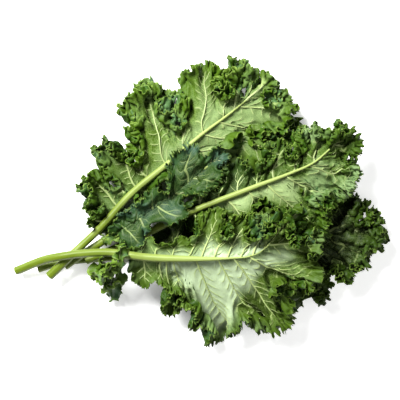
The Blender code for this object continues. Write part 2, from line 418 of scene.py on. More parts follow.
class Room:
    """The heights that the other leaves and the table leave free, on a square grid."""

    CELL = 4 * MM
    BORDER = 30 * MM
    OVER_TABLE = 0.8 * MM
    OVER_HEAP = 8 * MM
    GAP = 1 * MM

    def __init__(self, below, above):
        low_corner, high_corner = (np.array(corner) for corner in CAD_BOX)
        self.start = low_corner[:2] - self.BORDER
        shape = np.ceil((high_corner[:2] + self.BORDER - self.start) / self.CELL).astype(int)
        self.low = np.full(shape, self.OVER_TABLE)
        self.high = np.full(shape, high_corner[2] + self.OVER_HEAP)
        for i in range(shape[0]):
            for j in range(shape[1]):
                x, y = self.start + (np.array([i, j]) + 0.5) * self.CELL
                for other in below:
                    top = other.top(x, y)
                    if top is not None:
                        self.low[i, j] = max(self.low[i, j], top + self.GAP)
                for other in above:
                    bottom = other.bottom(x, y)
                    if bottom is not None:
                        self.high[i, j] = min(self.high[i, j], bottom - self.GAP)

    def keep(self, points):
        """Points moved up or down into the free heights."""
        cells = ((points[..., :2] - self.start) / self.CELL).astype(int)
        cells = np.clip(cells, 0, np.array(self.low.shape) - 1)
        low = self.low[cells[..., 0], cells[..., 1]]
        high = self.high[cells[..., 0], cells[..., 1]]
        points[..., 2] = np.maximum(np.minimum(points[..., 2], high), low)
        return points


# ---------------------------- the growing sheet


def doubled(x, axis):
    """A grid with a point added between each two along an axis, on a smooth curve."""
    x = np.moveaxis(x, axis, 0)
    ends = np.concatenate([2 * x[:1] - x[1:2], x, 2 * x[-1:] - x[-2:-1]])
    between = (9 * (ends[1:-2] + ends[2:-1]) - (ends[:-3] + ends[3:])) / 16
    out = np.empty((2 * len(x) - 1,) + x.shape[1:])
    out[::2] = x
    out[1::2] = between
    return np.moveaxis(out, 0, axis)


def sheet_normals(x):
    """Unit normals of a grid of points, on its upper side."""
    normal = np.cross(np.gradient(x, axis=0), np.gradient(x, axis=1))
    normal[:, 0] = normal[:, 1]
    return normal / (lengths(normal)[..., None] + TINY_AREA)


def spread_out(knots, count):
    """A smooth curve through knots along the first axis, read at count even places."""
    at = np.linspace(0, len(knots) - 4, count)
    cell = at.astype(int)
    t = (at - cell)[:, None]
    before, start, end, after = (knots[np.minimum(cell + k, len(knots) - 1)] for k in range(4))
    return (
        (-t + 2 * t**2 - t**3) * before
        + (2 - 5 * t**2 + 3 * t**3) * start
        + (t + 4 * t**2 - 3 * t**3) * end
        + (t**3 - t**2) * after
    ) / 2


def wander(rng, shape, spread):
    """A smooth random field, with one free value in each spread columns and rows."""
    knots = rng.normal(0, 1, [count // step + 4 for count, step in zip(shape, spread)])
    return spread_out(spread_out(knots, shape[0]).T, shape[1]).T


class Links:
    """All pairs of grid points that lie a given number of columns and rows apart."""

    def __init__(self, columns, rows, stiffness):
        ahead = slice(columns, None)
        behind = slice(0, -columns or None)
        if rows >= 0:
            self.first = (behind, slice(0, -rows or None))
            self.second = (ahead, slice(rows, None))
        else:
            self.first = (behind, slice(-rows, None))
            self.second = (ahead, slice(0, rows))
        self.stiffness = stiffness

    def span(self, x):
        return lengths(x[self.second] - x[self.first])

    def push(self, x, rest, move):
        pull = x[self.second] - x[self.first]
        pull *= (self.stiffness * 0.5 * (1 - rest / (lengths(pull) + TINY)))[..., None]
        move[self.first] += pull
        move[self.second] -= pull

    def weigh(self, weight):
        weight[self.first] += self.stiffness
        weight[self.second] += self.stiffness


def rest_lengths(flat, stretch, swell, bend):
    """Each link's length at rest, once a sheet has grown along its margin and across it."""
    along, across = Links(1, 0, 1.0), Links(0, 1, 1.0)
    shears = [Links(1, 1, SHEAR_STIFFNESS), Links(1, -1, SHEAR_STIFFNESS)]
    bends = [Links(2, 0, bend), Links(0, 2, bend)]
    spacing = along.span(flat)
    longer = spacing * (stretch[1:] + stretch[:-1]) / 2
    width = across.span(flat)
    wider = width * (swell[:, 1:] + swell[:, :-1]) / 2
    rest = {along: longer, across: wider}
    gain = longer**2 - spacing**2
    swelling = wider**2 - width**2
    gain = (gain[:, 1:] + gain[:, :-1] + swelling[1:] + swelling[:-1]) / 2
    for link in shears:
        rest[link] = np.sqrt(link.span(flat) ** 2 + gain)
    rest[bends[0]] = longer[1:] + longer[:-1]
    rest[bends[1]] = wider[:, 1:] + wider[:, :-1]
    return rest


def settled(x, flat, rest, steps, leash, room):
    """A sheet drawn towards its lengths at rest, each point on a leash from where it was."""
    weight = np.zeros(x.shape[:2])
    for link in rest:
        link.weigh(weight)
    before = x
    for _ in range(steps):
        speed = (x - before) * MOMENTUM
        before = x
        x = x + speed
        move = np.zeros_like(x)
        for link, length in rest.items():
            link.push(x, length, move)
        x += EAGERNESS * move / weight[..., None]
        off = x - flat
        off *= np.minimum(1, leash / (lengths(off) + TINY))[..., None]
        x = room.keep(flat + off)
        x[:, 0] = flat[:, 0]
    return x


class Sheet:
    """A leaf's sheet: grids of columns, around the margin, by rows, from the midrib out.

    run is the way from the midrib, depth the way to the margin, phase counts the veins, with
    one at each half number, and pace is the way from one to the next at that place. ruffle
    and green are what the lobes say. tip is the column that ends at the leaf's tip.
    """

    def __init__(self, place, run, depth, phase, pace, ruffle, green, tip):
        self.data = np.dstack([place, run, depth, phase, pace, ruffle, green])
        self.tip = tip

    @property
    def place(self):
        return self.data[..., :3]

    @place.setter
    def place(self, place):
        self.data[..., :3] = place

    run = property(lambda self: self.data[..., 3])
    depth = property(lambda self: self.data[..., 4])
    phase = property(lambda self: self.data[..., 5])
    pace = property(lambda self: self.data[..., 6])
    ruffle = property(lambda self: self.data[..., 7])
    green = property(lambda self: self.data[..., 8])

    def double(self, axis):
        self.data = doubled(self.data, axis)
        self.tip *= 2 - axis

    def grow(self, stage, rng, frill, room):
        for axis in range(2):
            if stage.double[axis]:
                self.double(axis)
        band = stage.band * frill
        near = 1 - smoothstep(0, 1, self.depth / (band * self.ruffle))
        near *= np.minimum(self.ruffle, 1)
        waves = wander(rng, near.shape, stage.spread) * stage.wave * near
        flat = self.place.copy()
        start = flat + sheet_normals(flat) * waves[..., None]
        loose = 1 - smoothstep(0, LEASH_BAND * band, self.depth)
        leash = SHORTEST_LEASH + stage.leash * loose
        rest = rest_lengths(flat, 1 + stage.growth * near, 1 + stage.swell * near, stage.bend)
        self.place = settled(start, flat, rest, stage.steps, leash, room)


def lobe_count(climbs, lobes):
    """Which lobe each ray of one side ends in, counted from the foot into the tip's lobe."""
    ends = [0] + [lobe.end for lobe in lobes]
    return np.interp(climbs, ends, list(range(len(lobes))) + [len(lobes) - TIP_LACK])


def along_lobes(count, values):
    """A value for each ray of one side, from a value for each lobe, with soft changes."""
    middles = np.arange(len(values))[:, None] + np.array([LOBE_BLEND, 1 - LOBE_BLEND])
    return np.interp(count, middles.ravel(), np.repeat(values, 2))


def lobe_share(count, lobes):
    """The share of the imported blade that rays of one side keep, by their lobe count."""
    share = along_lobes(count, [lobe.reach for lobe in lobes])
    for end, lobe in enumerate(lobes, start=1):
        share *= 1 - lobe.cut * (1 - smoothstep(0, CUT_WIDTH, np.abs(count - end)))
    return share


def curled(place, run, reaches, curl):
    """The sheet with its margin turned up, each column by its own angle."""
    steps = np.diff(place, axis=1)
    level = lengths(steps)[..., None]
    drop = -steps[..., 2].sum(axis=1) / (reaches + TINY)
    start = reaches[:, None] - CURL_WIDTH * CURL_START
    turn = (curl + np.arctan(drop))[:, None] * np.clip((run - start) / CURL_WIDTH, 0, 1)
    middle_turn = ((turn[:, 1:] + turn[:, :-1]) / 2)[..., None]
    slant = steps / (level + TINY)
    upward = np.array([0, 0, 1]) - slant * slant[..., 2:]
    upward /= lengths(upward)[..., None] + TINY
    steps = level * (slant * np.cos(middle_turn) + upward * np.sin(middle_turn))
    return np.concatenate([place[:, :1], place[:, :1] + np.cumsum(steps, axis=1)], axis=1)


def ray_starts(leaf, line, climbs, side):
    """The feet of rays on the midrib, and their headings as unit vectors."""
    share = leaf.bare + (1 - leaf.bare) * np.minimum(1, climbs / TIP_FAN)
    feet = at_share(line, share)[:, :3]
    ahead = at_share(line, np.minimum(1, share + HEADING_AHEAD))
    ahead -= at_share(line, share - HEADING_BEHIND)
    turn = VEIN_ANGLE_AT_FOOT + (VEIN_ANGLE_AT_TIP - VEIN_ANGLE_AT_FOOT) * climbs / TIP_FAN
    turn = np.where(climbs > TIP_FAN, VEIN_ANGLE_AT_TIP * (1 - climbs) / (1 - TIP_FAN), turn)
    heading = np.arctan2(ahead[:, 1], ahead[:, 0]) + side * np.radians(turn)
    return feet, np.stack([np.cos(heading), np.sin(heading), 0 * heading], axis=1)


def packed_reaches(solid, feet, outward):
    """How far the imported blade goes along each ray, evened out between neighbours."""
    reaches = np.array([solid.reach(*ray) for ray in zip(feet, outward)])
    window = np.ones(OUTLINE_SMOOTHING) / OUTLINE_SMOOTHING
    padded = np.pad(reaches, OUTLINE_SMOOTHING // 2, mode="edge")
    return np.convolve(padded, window, mode="valid")


def rays_to_margin(leaf, line, solid):
    """Rays from the midrib to the margin, up one side of the leaf and down the other.

    A row for each ray: its foot, its heading as a unit vector, its reach, its lobe count,
    how far its vein sweeps forward, and its lobe's ruffle and green.
    """
    climbs = 1 - np.abs(2 * np.linspace(0, 1, OUTLINE_RAYS + 1) - 1)
    side = np.where(np.arange(OUTLINE_RAYS + 1) <= OUTLINE_RAYS // 2, 1, -1)
    feet, outward = ray_starts(leaf, line, climbs, side)
    reaches = packed_reaches(solid, feet, outward)
    count, ruffle, green = np.zeros((3, OUTLINE_RAYS + 1))
    for lobes, half in ((leaf.left_lobes, side > 0), (leaf.right_lobes, side < 0)):
        count[half] = lobe_count(climbs[half], lobes)
        extra = along_lobes(count[half], [lobe.extra for lobe in lobes])
        reaches[half] = (reaches[half] + extra) * lobe_share(count[half], lobes)
        ruffle[half] = along_lobes(count[half], [lobe.ruffle for lobe in lobes])
        green[half] = along_lobes(count[half], [lobe.green for lobe in lobes])
    reaches *= smoothstep(-FOOT_TAPER / 2, FOOT_TAPER, climbs)
    sweep = VEIN_SWEEP * (1 - smoothstep(SWEEP_FADE, 1, climbs))
    return np.column_stack([feet, outward, reaches, count, sweep, ruffle, green])


def chosen_rays(rays, columns, above):
    """Rays at even steps along the margin, with fewer where leaves above hide it."""
    margin = rays[:, :3] + rays[:, 3:6] * rays[:, 6:7]
    hidden = [any(other.bottom(x, y) is not None for other in above) for x, y, _ in margin]
    weight = np.where(hidden, HIDDEN_DETAIL, 1.0)
    steps = lengths(np.diff(margin, axis=0)) * (weight[1:] + weight[:-1]) / 2
    way = np.concatenate([[0], np.cumsum(steps)])
    middle = len(rays) // 2
    tip = round(columns * way[middle] / way[-1])
    before = np.linspace(0, way[middle], tip + 1)
    after = np.linspace(way[middle], way[-1], columns - tip + 1)[1:]
    at = np.concatenate([before, after])
    return np.stack([np.interp(at, way, column) for column in rays.T], axis=1), tip


def laid_sheet(leaf, line, solid, above, rng):
    """The sheet before it grows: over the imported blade, with its margin curled up."""
    rays, tip = chosen_rays(rays_to_margin(leaf, line, solid), leaf.columns, above)
    feet, outward = rays[:, :3], rays[:, 3:6]
    reaches, count, sweep, ruffle, green = rays[:, 6:].T
    share = 1 - (1 - np.linspace(0, 1, START_ROWS + 1)) ** ROW_CROWDING
    run = reaches[:, None] * share
    place = feet[:, None] + outward[:, None] * run[..., None]
    for i in range(len(rays)):
        height = feet[i][2]
        for j in range(START_ROWS + 1):
            middle = solid.middle(*place[i, j, :2])
            height = height if middle is None else middle
            place[i, j, 2] = height
        blend = smoothstep(0, MIDRIB_BLEND, run[i])
        place[i, :, 2] = feet[i][2] + (place[i, :, 2] - feet[i][2]) * blend
    margin = doubled(place[:, -1:, :2], 0)[:, 0]
    depth = lengths(place[:, :, None, :2] - margin[None, None]).min(axis=2)
    phase = VEINS_PER_LOBE * (count[:, None] + sweep[:, None] * (1 - share**2))
    pace = lengths(np.gradient(place, axis=0)) / (np.abs(np.gradient(phase, axis=0)) + LEAST_STEP)
    stray = smoothstep(0, VEIN_STRAY_FROM, run)
    phase += VEIN_STRAY * wander(rng, run.shape, VEIN_STRAY_STEPS) * stray
    curl = leaf.curl + CURL_SPREAD * wander(rng, (len(rays), 1), CURL_STEPS)[:, 0]
    place = curled(place, run, reaches, curl * np.minimum(ruffle, 1))
    stray = smoothstep(0, SIDE_VEIN_STRAY_FROM, run)
    run = run + SIDE_VEIN_STRAY * wander(rng, run.shape, SIDE_VEIN_STRAY_STEPS) * stray
    ruffle, green = (np.repeat(value[:, None], START_ROWS + 1, axis=1) for value in (ruffle, green))
    return Sheet(place, run, depth, phase, np.minimum(pace, WIDEST_PACE), ruffle, green, tip)


def toothed(sheet, rng):
    """Cuts teeth of two sizes into the margin, by drawing the outer rows in between them."""
    columns, rows = sheet.run.shape
    small = np.abs(wander(rng, (columns, 1), SMALL_TEETH))
    large = np.abs(wander(rng, (columns, 1), LARGE_TEETH))
    spacing = lengths(np.diff(sheet.place[:, -MARGIN_ROWS:], axis=1)).mean()
    share = np.clip(SMALL_SHARE * small + LARGE_SHARE * large, 0, DEEPEST_SHARE)
    notch = NOTCH / spacing * share
    zone = smoothstep(rows - 1 - NOTCH_ZONE / spacing, rows - 1, np.arange(rows))
    row = np.arange(rows) - notch * zone
    low = np.minimum(row.astype(int), rows - 2)
    part = (row - low)[..., None]
    inner = np.take_along_axis(sheet.place, low[..., None], axis=1)
    outer = np.take_along_axis(sheet.place, low[..., None] + 1, axis=1)
    sheet.place = inner * (1 - part) + outer * part


def puckered(sheet, underside_up):
    """Lets the tissue between the veins bulge towards the leaf's upper side."""
    across = (sheet.phase % 1 - 0.5) * sheet.pace
    away = np.abs(across)
    count = (sheet.run - SIDE_VEIN_SLANT * away) / SIDE_VEIN_SPACING
    count += SIDE_VEIN_SHIFT * np.floor(sheet.phase) - SIDE_VEIN_STAGGER * np.sign(across)
    gap = np.abs(count % 1 - 0.5) * SIDE_VEIN_SPACING
    gap += PUCKER_WIDTH * smoothstep(SIDE_VEIN_END, 0.5, np.abs(sheet.phase % 1 - 0.5))
    gap = np.minimum(away, gap)
    bulge = PUCKER * smoothstep(0, PUCKER_WIDTH, gap)
    bulge *= smoothstep(*PUCKER_IN, sheet.depth) * smoothstep(*PUCKER_OUT, sheet.run)
    towards_upper = -1 if underside_up else 1
    sheet.place = sheet.place + sheet_normals(sheet.place) * towards_upper * bulge[..., None]


def frilled_sheet(leaf, line, blade, room, above, stages):
    rng = np.random.default_rng(leaf.seed)
    sheet = laid_sheet(leaf, line, blade, above, rng)
    sheet.place = room.keep(sheet.place.copy())
    for stage in stages:
        sheet.grow(stage, rng, leaf.frill, room)
    toothed(sheet, rng)
    puckered(sheet, leaf.underside_up)
    return sheet


def sheet_piece(name, sheet, finer_rows):
    """A sheet as an object: its margin has a finer mesh than its middle."""
    columns, rows = sheet.run.shape[0] - 1, sheet.run.shape[1] - 1
    coarse = columns
    for _, cuts in finer_rows:
        coarse //= cuts + 1
    bm = bmesh.new()
    bmesh.ops.create_grid(bm, x_segments=coarse, y_segments=rows, size=0.5)
    for from_row, cuts in finer_rows:
        low = (from_row - 0.5) / rows - 0.5
        level = [edge for edge in bm.edges if abs(edge.verts[0].co.y - edge.verts[1].co.y) < SAME_ROW]
        finer = [edge for edge in level if edge.verts[0].co.y > low]
        bmesh.ops.subdivide_edges(bm, edges=finer, cuts=cuts)
    mesh = bpy.data.meshes.new(name)
    bm.to_mesh(mesh)
    start = np.zeros(len(mesh.vertices) * 3)
    mesh.vertices.foreach_get("co", start)
    start = start.reshape(-1, 3)
    i = np.rint((start[:, 0] + 0.5) * columns).astype(int)
    j = np.rint((start[:, 1] + 0.5) * rows).astype(int)
    mesh.vertices.foreach_set("co", sheet.place[i, j].ravel())
    fields = {"run": sheet.run / MM, "depth": sheet.depth / MM, "phase": sheet.phase,
              "pace": sheet.pace / MM, "green": sheet.green}
    for label, field in fields.items():
        attribute = mesh.attributes.new(label, "FLOAT", "POINT")
        attribute.data.foreach_set("value", field[i, j].astype(np.float32))
    mesh.update()
    mesh.shade_smooth()
    piece = placed(name, mesh)
    solidify = piece.modifiers.new("thickness", "SOLIDIFY")
    solidify.thickness = BLADE_THICKNESS
    solidify.offset = 0
    solidify.material_offset = 1
    return piece


# ---------------------------- veins


def at(grid, column, row):
    """A grid's value between its points."""
    i = min(int(column), grid.shape[0] - 2)
    j = min(int(row), grid.shape[1] - 2)
    s, t = column - i, row - j
    low = grid[i, j] * (1 - s) + grid[i + 1, j] * s
    high = grid[i, j + 1] * (1 - s) + grid[i + 1, j + 1] * s
    return low * (1 - t) + high * t


class VeinMap:
    """Finds places on a leaf's sheet by lobe and by distance from the midrib."""

    def __init__(self, sheet, underside_up):
        self.sheet = sheet
        self.under = sheet_normals(sheet.place) * (1 if underside_up else -1)

    def column(self, side, phase, row):
        """The column of a side of the leaf where the lobe count is phase."""
        tip = self.sheet.tip
        counts = self.sheet.phase[:, min(int(round(row)), self.sheet.phase.shape[1] - 1)]
        if side == 0:
            return np.interp(phase, counts[: tip + 1], np.arange(tip + 1))
        return np.interp(phase, counts[tip:][::-1], np.arange(tip, len(counts))[::-1])

    def row(self, column, run):
        return np.interp(run, self.sheet.run[int(column)], np.arange(self.sheet.run.shape[1]))

    def spot(self, column, row, radius):
        """A point of a vein's middle, sunk into the underside of the sheet."""
        shift = BLADE_THICKNESS / 2 + VEIN_RISE * radius
        point = at(self.sheet.place, column, row) + at(self.under, column, row) * shift
        return (*point, radius)


def lobe_vein(veins, side, phase):
    """Points of the vein along a lobe, with the radius at each."""
    column = veins.column(side, phase, 0)
    points = []
    last = veins.sheet.run[int(column), -1] * VEIN_REACH
    for run in np.arange(0, last, VEIN_STEP):
        row = veins.row(column, run)
        column = veins.column(side, phase, row)
        radius = VEIN_RADIUS * (1 - VEIN_TAPER * run / last)
        points.append(veins.spot(column, row, radius))
    return points


def side_vein(veins, side, phase, way, start_run):
    """Points of a vein that leaves the lobe's vein slantwise, towards a higher run."""
    column = veins.column(side, phase, 0)
    row = veins.row(column, start_run)
    points = []
    away = 0
    while True:
        run = start_run + SIDE_VEIN_SLANT * away
        target = phase + way * away / max(at(veins.sheet.pace, column, row), NARROWEST_PACE)
        if abs(target - phase) > SIDE_VEIN_END + SIDE_VEIN_OVERSHOOT or target < SIDE_VEIN_LOWEST:
            break
        column = veins.column(side, target, row)
        row = veins.row(column, run)
        outermost = row > veins.sheet.run.shape[1] - 2
        if outermost or at(veins.sheet.depth, column, row) < SIDE_VEIN_MARGIN:
            break
        radius = SIDE_VEIN_RADIUS * (1 - SIDE_VEIN_TAPER * away / MM)
        points.append(veins.spot(column, row, max(radius, SIDE_VEIN_THINNEST)))
        away += SIDE_VEIN_STEP
    return points


def tube_piece(name, lines, resolution):
    """Tapering tubes along lines of points (x, y, z, radius)."""
    curve = bpy.data.curves.new(name, "CURVE")
    curve.dimensions = "3D"
    curve.bevel_depth = 1
    curve.bevel_resolution = resolution
    curve.use_fill_caps = True
    for line in lines:
        spline = curve.splines.new("POLY")
        spline.points.add(len(line) - 1)
        for knot, (x, y, z, radius) in zip(spline.points, line):
            knot.co = x, y, z, 1
            knot.radius = radius
    return placed(name, curve)


def vein_pieces(leaf, sheet):
    veins = VeinMap(sheet, leaf.underside_up)
    lobe_veins = []
    side_veins = []
    for side in range(2):
        lobes = leaf.right_lobes if side else leaf.left_lobes
        for count in range(VEINS_PER_LOBE * len(lobes)):
            phase = count + 0.5
            line = lobe_vein(veins, side, phase)
            if len(line) < SHORTEST_VEIN:
                continue
            lobe_veins.append(line)
            reach = veins.sheet.run[int(veins.column(side, phase, 0)), -1]
            for way in (-1, 1):
                first = (0.5 + SIDE_VEIN_STAGGER * way - SIDE_VEIN_SHIFT * count) % 1
                for start in np.arange(first * SIDE_VEIN_SPACING, reach, SIDE_VEIN_SPACING):
                    line = side_vein(veins, side, phase, way, start)
                    if len(line) > 2:
                        side_veins.append(line)
    return [tube_piece(leaf.name + "_lobe_veins", lobe_veins, 1),
            tube_piece(leaf.name + "_side_veins", side_veins, 0)]


# ---------------------------- stalks


# A stalk has faint ribs along it, full from this radius up. It slims between two shares of its
# line.
STALK_SIDES = 24
STALK_RIBS = 7
STALK_RIB_HEIGHT = 0.035
STALK_RIBS_FULL = 2 * MM
STALK_SHARP_ANGLE = 50
SLIMMING = (0.5, 0.9)
CUT_RIM = 0.12


def stalk_spot(line, ahead, step, turn, inward):
    """A point of a stalk's skin, or of its cut face, at a step of its line."""
    x, y, z, radius = line[step]
    forward = Vector(ahead[step]).normalized()
    side = forward.cross(Vector((0, 0, 1))).normalized()
    upward = side.cross(forward)
    rib = 1 + STALK_RIB_HEIGHT * math.cos(STALK_RIBS * turn) * min(1, radius / STALK_RIBS_FULL)
    offset = (side * math.cos(turn) + upward * math.sin(turn)) * radius * rib * inward
    return Vector((x, y, z)) + offset


def stalk_piece(leaf):
    """A stalk around its packed line, with faint ribs, and cut square at its thick end.

    Side, upward and forward are a left-handed frame, which turns the tube inside out, so its
    faces are reversed.
    """
    line = doubled(doubled(stalk_line(leaf.name + "_stalk"), 0), 0)
    line[:, 3] *= 1 - leaf.slim * smoothstep(*SLIMMING, np.linspace(0, 1, len(line)))
    ahead = np.gradient(line[:, :3], axis=0)
    bm = bmesh.new()
    bmesh.ops.create_cone(bm, cap_ends=True, segments=STALK_SIDES, radius1=1, radius2=1, depth=1)
    lengthwise = [edge for edge in bm.edges if abs(edge.verts[0].co.z - edge.verts[1].co.z) > 0.5]
    bmesh.ops.subdivide_edges(bm, edges=lengthwise, cuts=len(line) - 2)
    foot = [face for face in bm.faces if len(face.verts) > 4 and face.calc_center_median().z < 0]
    bmesh.ops.inset_region(bm, faces=foot, thickness=CUT_RIM, depth=0.0)
    grain = bm.verts.layers.float_vector.new("grain")
    for vert in bm.verts:
        step = round((vert.co.z + 0.5) * (len(line) - 1))
        turn = math.atan2(vert.co.y, vert.co.x)
        vert[grain] = math.cos(turn), math.sin(turn), step / len(line)
        vert.co = stalk_spot(line, ahead, step, turn, vert.co.xy.length)
    for face in bm.faces:
        face.material_index = 1 if face in foot else 0
        face.smooth = True
    bmesh.ops.reverse_faces(bm, faces=bm.faces)
    mesh = bpy.data.meshes.new(leaf.name + "_stalk_skin")
    bm.to_mesh(mesh)
    mesh.set_sharp_from_angle(angle=math.radians(STALK_SHARP_ANGLE))
    return placed(mesh.name, mesh)


# ---------------------------- materials


class Value:
    """A number on a surface. Arithmetic on it adds Math nodes."""

    def __init__(self, surface, socket):
        self.surface = surface
        self.socket = socket

    def maths(self, operation, *others):
        inputs = dict(enumerate((self, *others)))
        return self.surface.node("ShaderNodeMath", {"operation": operation}, inputs)

    def __add__(self, other):
        return self.maths("ADD", other)

    __radd__ = __add__

    def __mul__(self, other):
        return self.maths("MULTIPLY", other)

    __rmul__ = __mul__

    def __sub__(self, other):
        return self.maths("SUBTRACT", other)

    def __rsub__(self, other):
        return (self * -1) + other

    def __truediv__(self, other):
        return self.maths("DIVIDE", other)

    def __abs__(self):
        return self.maths("ABSOLUTE")

    def step(self, low, high):
        """0 under low, 1 over high, and smooth between."""
        settings = {"interpolation_type": "SMOOTHSTEP"}
        inputs = {"Value": self, "From Min": low, "From Max": high}
        return self.surface.node("ShaderNodeMapRange", settings, inputs)


class Surface:
    """A material in the making."""

    def __init__(self, name):
        self.material = bpy.data.materials.new(name)
        self.material.use_nodes = True
        self.tree = self.material.node_tree
        self.shader = self.tree.nodes["Principled BSDF"]

    def put(self, socket, value):
        if isinstance(value, Value):
            self.tree.links.new(value.socket, socket)
        else:
            socket.default_value = (*value, 1) if socket.type == "RGBA" else value

    def node(self, kind, settings=None, inputs=None, output=0):
        made = self.tree.nodes.new(kind)
        for name, setting in (settings or {}).items():
            setattr(made, name, setting)
        for name, value in (inputs or {}).items():
            self.put(made.inputs[name], value)
        return Value(self, made.outputs[output])

    def finish(self, **inputs):
        for name, value in inputs.items():
            self.put(self.shader.inputs[name.replace("_", " ")], value)
        return self.material

    def attribute(self, name, output="Fac"):
        return self.node("ShaderNodeAttribute", {"attribute_name": name}, output=output)

    def place(self):
        return self.node("ShaderNodeTexCoord", output="Object")

    def noise(self, vector, scale, detail=3):
        inputs = {"Vector": vector, "Scale": scale, "Detail": detail}
        return self.node("ShaderNodeTexNoise", inputs=inputs, output="Fac")

    def cells(self, vector, scale):
        """The distance to the nearest border of small cells."""
        inputs = {"Vector": vector, "Scale": scale}
        return self.node("ShaderNodeTexVoronoi", {"feature": "DISTANCE_TO_EDGE"}, inputs)

    def blend(self, mask, first, second):
        """The first colour where mask is 0, and the second where it is 1."""
        inputs = {"Factor": mask, 6: first, 7: second}
        return self.node("ShaderNodeMix", {"data_type": "RGBA"}, inputs, output=2)

    def bump(self, height, distance, strength=1.0):
        inputs = {"Height": height, "Distance": distance, "Strength": strength}
        return self.node("ShaderNodeBump", inputs=inputs)


# Where each mask starts and is full: millimetres from the margin or the vein, levels of a
# noise, or a lobe's value for its frill colour and painted shade.
FRILL_EDGE = (13, 31)
BLOOM_EDGE = (0.48, 0.66)
PAINTED_SHADE_EDGE = (0.6, 1.0)
MOTTLE_EDGE = (0.25, 0.75)
RIM_HIGHLIGHT_EDGE = (0.1, 0.7)
RIM_HIGHLIGHT_MOTTLE_EDGE = (0.35, 0.65)
VEIN_FADE = (3, 16)
VEIN_EDGE = (0.7, 1.4)
SIDE_VEIN_EDGE = (0.25, 0.75)
NET_EDGE = (0.02, 0.16)

# How far in the colour of the frills goes on a lobe whose value for it is 1, partly as painted
# shade, and how ragged its edge is, in millimetres, and how much a lobe vein narrows with each
# millimetre.
FRILL_GREEN_AND_SHADE_REACH = 34
FRILL_RAGGED = 18
VEIN_NARROWING = 0.010

# Scales of the patches, the mottle and the net of fine veins.
PATCHES = 28
MOTTLE = 160
NET = 420

VEIN_GREEN = (0.40, 0.50, 0.18)
# Painted highlight for the margin's rim.
RIM_HIGHLIGHT_GREEN = (0.20, 0.30, 0.05)
# Painted shade for lobes that lie deep in the heap.
PAINTED_SHADE_GREEN = (0.010, 0.026, 0.003)
# Painted shade for the mottle.
SHADE_GREEN = (0.0, 0.02, 0.0)
STALK_GREEN = (0.075, 0.12, 0.002)
STALK_STREAK = (0.125, 0.175, 0.006)
STALK_PATCH = (0.21, 0.27, 0.05)
MIDRIB_GREEN = (0.33, 0.41, 0.12)
FIBRE_GREEN = (0.45, 0.55, 0.22)
FLESH_GREEN = (0.60, 0.68, 0.38)

# How light the veins of each leaf are.
VEIN_SHADES = {"right": 0.4, "left": 0.75, "middle": 0.8, "inner": 0.5, "front": 1.0,
               "crossing": 0.5, "curled": 0.5}


def vein_masks(surface):
    """Masks of the lobe veins, the side veins and the fine net between them."""
    run, phase, pace = (surface.attribute(name) for name in ("run", "phase", "pace"))
    between = phase.maths("FRACT") - 0.5
    away = abs(between) * pace
    lobe_vein = 1 - (away + run * VEIN_NARROWING).step(*VEIN_EDGE)
    count = (run - SIDE_VEIN_SLANT * away) / (SIDE_VEIN_SPACING / MM)
    count = count - between.maths("SIGN") * SIDE_VEIN_STAGGER
    count = count + phase.maths("FLOOR") * SIDE_VEIN_SHIFT
    near = abs(count.maths("FRACT") - 0.5) * (SIDE_VEIN_SPACING / MM)
    side_vein = 1 - (near + abs(between).step(SIDE_VEIN_END, 0.5) * 2).step(*SIDE_VEIN_EDGE)
    net = 1 - surface.cells(surface.place(), NET).step(*NET_EDGE)
    return lobe_vein, side_vein, net


def blade_side(name, tissue, frill, bloom, bloom_inside, vein_strength, relief, roughness):
    """One side of a blade: tissue with veins, greener frills and a painted highlight on the rim."""
    surface = Surface(name)
    place = surface.place()
    depth = surface.attribute("depth")
    lobe_vein, side_vein, net = vein_masks(surface)
    green = surface.attribute("green")
    patches = surface.noise(place, PATCHES, 3)
    mottle = surface.noise(place, MOTTLE, 4)
    # A lobe's value pulls the darker frill colour further in: partly the leaf's own colour, partly
    # painted shade where the lobe lies in the heap's shade.
    inner = (depth + patches * FRILL_RAGGED - green * FRILL_GREEN_AND_SHADE_REACH).step(*FRILL_EDGE)
    colour = surface.blend(inner, frill, tissue)
    waxy = patches.step(*BLOOM_EDGE) * (1 - inner * (1 - bloom_inside))
    colour = surface.blend(waxy * 0.8, colour, bloom)
    # Painted shade: lobes with a value over 0.6 are darkened and their veins dimmed, as where they
    # lie deep in the heap.
    deep = green.step(*PAINTED_SHADE_EDGE)
    colour = surface.blend(deep * 0.7, colour, PAINTED_SHADE_GREEN)
    # Painted shade in a random mottle: small patches darkened, as in the gaps between fine crinkles.
    shade = surface.blend(0.65, colour, SHADE_GREEN)
    colour = surface.blend(mottle.step(*MOTTLE_EDGE) * 0.3, colour, shade)
    fade = depth.step(*VEIN_FADE)
    veins = (lobe_vein * 0.9).maths("MAXIMUM", side_vein * 0.5).maths("MAXIMUM", net * 0.18)
    colour = surface.blend(veins * fade * (1 - deep * 0.5) * vein_strength, colour, VEIN_GREEN)
    # Painted highlight: a pale, broken line along the margin, where light catches the edges of the
    # frills.
    rim_highlight = (1 - depth.step(*RIM_HIGHLIGHT_EDGE)) * mottle.step(*RIM_HIGHLIGHT_MOTTLE_EDGE)
    colour = surface.blend(rim_highlight * 0.6, colour, RIM_HIGHLIGHT_GREEN)
    height = (lobe_vein + side_vein * 0.5 + net * 0.4) * fade * relief + mottle * 0.35
    return surface.finish(
        Base_Color=colour,
        Roughness=mottle * 0.2 + (roughness - 0.1),
        Specular_IOR_Level=0.14,
        Normal=surface.bump(height, 0.4 * MM, 0.8),
    )


